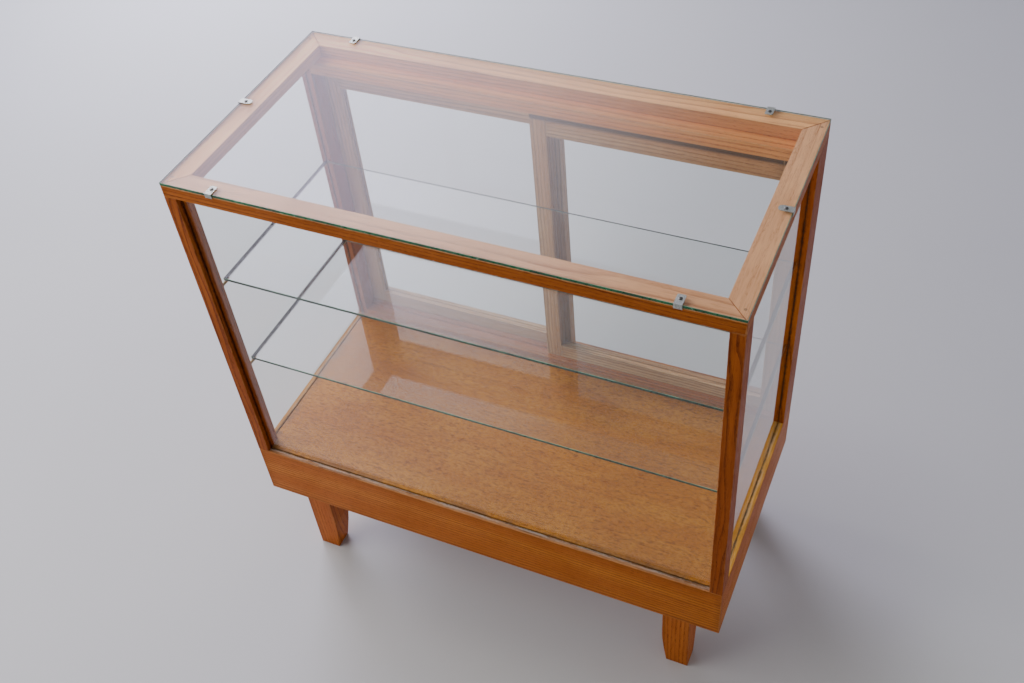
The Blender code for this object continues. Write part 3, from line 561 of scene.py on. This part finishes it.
# --- Sliding doors -------------------------------------------------------------------------------
# Two light doors, each an oak frame of stiles and rails round a 3 mm pane. Thin tongues along the
# top and bottom run in the tracks, waxed and never varnished, so this oak stayed greyer.
DOOR_PALE = stain(216, 168, 120)
DOOR_MAIN = stain(196, 140, 92)
DOOR_DARK = stain(146, 94, 54)
HEAD_SHADOW_DROP = 0.018  # the painted shadow of the head starts this far below it
HEAD_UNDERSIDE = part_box("head_track")[0].z
for index, hand in enumerate(("left", "right")):
    for board, (member, grain) in enumerate((
            ("outer_stile", "z"), ("meeting_stile", "z"), ("top_rail", "x"), ("bottom_rail", "x"))):
        oil_oak(f"{hand}_door_{member}", grain, 41.0 + 10 * index + board, DOOR_PALE, DOOR_MAIN,
                DOOR_DARK, worn=stain(206, 168, 124), grime_and_shade=0.0,
                painted_shadow_from=HEAD_UNDERSIDE - HEAD_SHADOW_DROP)
    glaze(f"{hand}_door_glass", "y", PANE_GREEN, PALE_SEAM_AND_HIGHLIGHT)

# --- Finger pulls --------------------------------------------------------------------------------
# A small spun brass cup let into the rear face of each door's outer stile, pressed in flush so
# that one door passes the other.
PULL_BRASS = age_metal("pull_aged_brass", stain(190, 154, 92), stain(126, 96, 54), 0.22, 260.0)
for hand in ("left", "right"):
    put_on(hand + "_door_finger_pull", PULL_BRASS)

# --- Top rails -----------------------------------------------------------------------------------
# Four oak rails mitred into a frame that carries the counter glass, with panel pins in the ends of
# the side rails. Their outer faces are oiled like the posts, and the upper faces under the glass
# have bleached to a pale pinkish beige; at the rear and on the left they are painted paler still,
# as painted light falling from behind the left end.
RAIL_PALE = stain(196, 112, 38)
RAIL_MAIN = stain(178, 94, 24)
RAIL_DARK = stain(122, 56, 10)
RAIL_BLEACHED = (stain(226, 168, 120), stain(168, 106, 64))
# bleached, and painted paler as painted light, for the rear and left rails
RAIL_BLEACHED_AND_LIT = (stain(248, 184, 120), stain(198, 126, 72))
PIN_IN_FROM_END = 0.0208
PIN_IN_FROM_SIDE = 0.009
for board, (side, grain) in enumerate(SIDES):
    rail_low, rail_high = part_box(side + "_top_rail")
    outer_side = rail_high.x - PIN_IN_FROM_SIDE if side == "right" else rail_low.x + PIN_IN_FROM_SIDE
    pins = [] if grain == "x" else [
        (outer_side, end, rail_high.z)
        for end in (rail_low.y + PIN_IN_FROM_END, rail_high.y - PIN_IN_FROM_END)]
    oil_oak(side + "_top_rail", grain, board + 61.0, RAIL_PALE, RAIL_MAIN, RAIL_DARK,
            worn=stain(200, 146, 92), grime_and_shade=0.0, pins=pins,
            bleached=RAIL_BLEACHED_AND_LIT if side in ("rear", "left") else RAIL_BLEACHED)

# --- Counter glass -------------------------------------------------------------------------------
# One 5 mm sheet, ground flush with the frame all round, that serves as the shop counter. Its
# edges are a deep bottle green, and its face has the faint smears of daily wiping.
COUNTER_GREEN = stain(0, 100, 52)
glaze("top_glass", "z", COUNTER_GREEN, PALE_SEAM_AND_HIGHLIGHT, smears=0.045, bending=THICK_BENDING)

# --- Clips and screws ----------------------------------------------------------------------------
# Six little clips folded from zinc-plated strip hook over the counter glass, each held by one
# slotted round-head screw into the rail. The plating has dulled and spotted.
CLIP_ZINC = age_metal("clip_dull_zinc", stain(196, 200, 192), stain(142, 146, 138), 0.3, 700.0)
SCREW_ZINC = age_metal("screw_dark_zinc", stain(128, 128, 124), stain(70, 68, 64), 0.3, 900.0)
for place_name in ("front_left", "front_right", "rear_left", "rear_right", "left", "right"):
    put_on(place_name + "_clip", CLIP_ZINC)
    put_on(place_name + "_clip_screw", SCREW_ZINC)

# --- Studio --------------------------------------------------------------------------------------
# Not part of the object: a plain pale floor, soft light from the upper left with a weak warm one
# from the right, and the camera over the front right corner, looking down into the case.
FLOOR_HALF = 12.0
ROOM_PALE = (0.92, 0.93, 1.0, 1.0)
ROOM_BRIGHT = (0.80, 0.74, 0.98, 1.0)
ROOM_STRENGTH = 0.31
BRIGHT_SIDE_STRENGTH = 3.3
HORIZON_STRENGTH = 0.08


def lay_floor():
    """A wide matt floor, very slightly clouded."""
    shape = bmesh.new()
    bmesh.ops.create_grid(shape, x_segments=1, y_segments=1, size=FLOOR_HALF)
    mesh = bpy.data.meshes.new("floor")
    shape.to_mesh(mesh)
    shape.free()
    floor = bpy.data.objects.new("floor", mesh)
    bpy.context.scene.collection.objects.link(floor)
    finish, tree, shader, place = start_finish("floor_pale_matt")
    clouds = speckle(tree, place, (1.5, 1.5, 1.5), detail=3.0)
    colour = blend_colours(tree, clouds, stain(193, 194, 198), stain(199, 200, 204))
    tree.links.new(colour, shader.inputs["Base Color"])
    shader.inputs["Roughness"].default_value = 0.85
    mesh.materials.append(finish)


def hang_light(name, width, height, watts, colour, at, towards):
    """A soft panel that lights the scene and shows in gloss, but isn't itself in any view."""
    lamp = bpy.data.lights.new(name, "AREA")
    lamp.shape = "RECTANGLE"
    lamp.size = width
    lamp.size_y = height
    lamp.energy = watts
    lamp.color = colour
    holder = bpy.data.objects.new(name, lamp)
    holder.location = at
    holder.visible_camera = False
    holder.visible_transmission = False
    aim = [towards[axis] - at[axis] for axis in range(3)]
    level = math.hypot(aim[0], aim[1])
    holder.rotation_euler = (math.atan2(level, -aim[2]), 0, math.atan2(aim[1], aim[0]) - math.pi / 2)
    bpy.context.scene.collection.objects.link(holder)


def light_room():
    """A pale room, brightest high up behind the left end and a little brighter at the horizon."""
    room = bpy.data.worlds.new("pale_room")
    room.use_nodes = True
    tree = room.node_tree
    backdrop = tree.nodes["Background"]
    towards = wire(tree, "TexCoord").outputs["Generated"]
    bright_side = Vector((-0.68, 0.60, 0.42)).normalized()
    lobe = wire(tree, "VectorMath", {0: towards, 1: bright_side}, operation="DOT_PRODUCT")
    lobe = ease(tree, lobe.outputs["Value"], 0.84, 1.0)
    horizon = ease(tree, wire(tree, "SeparateXYZ", {0: towards}).outputs[2], 0.30, 0.02)
    tree.links.new(
        blend_colours(tree, lobe, ROOM_PALE, ROOM_BRIGHT), backdrop.inputs["Color"])
    strength = reckon(tree, "MULTIPLY", lobe, BRIGHT_SIDE_STRENGTH)
    strength = reckon(tree, "ADD", strength, ROOM_STRENGTH)
    glow = reckon(tree, "MULTIPLY", horizon, HORIZON_STRENGTH)
    strength = reckon(tree, "ADD", strength, glow)
    tree.links.new(strength, backdrop.inputs["Strength"])
    bpy.context.scene.world = room


lay_floor()
light_room()
hang_light("soft_key", 1.8, 1.5, 32.5, (1.0, 0.95, 0.88), (-1.75, -1.2, 1.75), (0, 0, 0.5))
hang_light("high_fill", 0.9, 0.9, 24.0, (1.0, 0.93, 0.84), (-2.0, 0.2, 2.4), (-0.2, 0, 0.9))
hang_light("warm_return", 1.2, 0.9, 2.0, (1.0, 0.66, 0.24), (1.7, -0.2, 0.7), (0, 0, 0.45))
hang_light("background_wash", 1.6, 1.2, 92.0, (0.86, 0.86, 1.0), (-2.3, 2.2, 1.5), (-1.1, 1.2, 0))

view_from = bpy.data.objects.new("camera", bpy.data.cameras.new("camera"))
view_from.data.lens = 39.94
view_from.data.sensor_width = 36.0
view_from.location = (0.6607, -1.2247, 1.9350)
view_from.rotation_euler = [math.radians(turn) for turn in (44.508, 4.633, 23.816)]
bpy.context.scene.collection.objects.link(view_from)
bpy.context.scene.camera = view_from
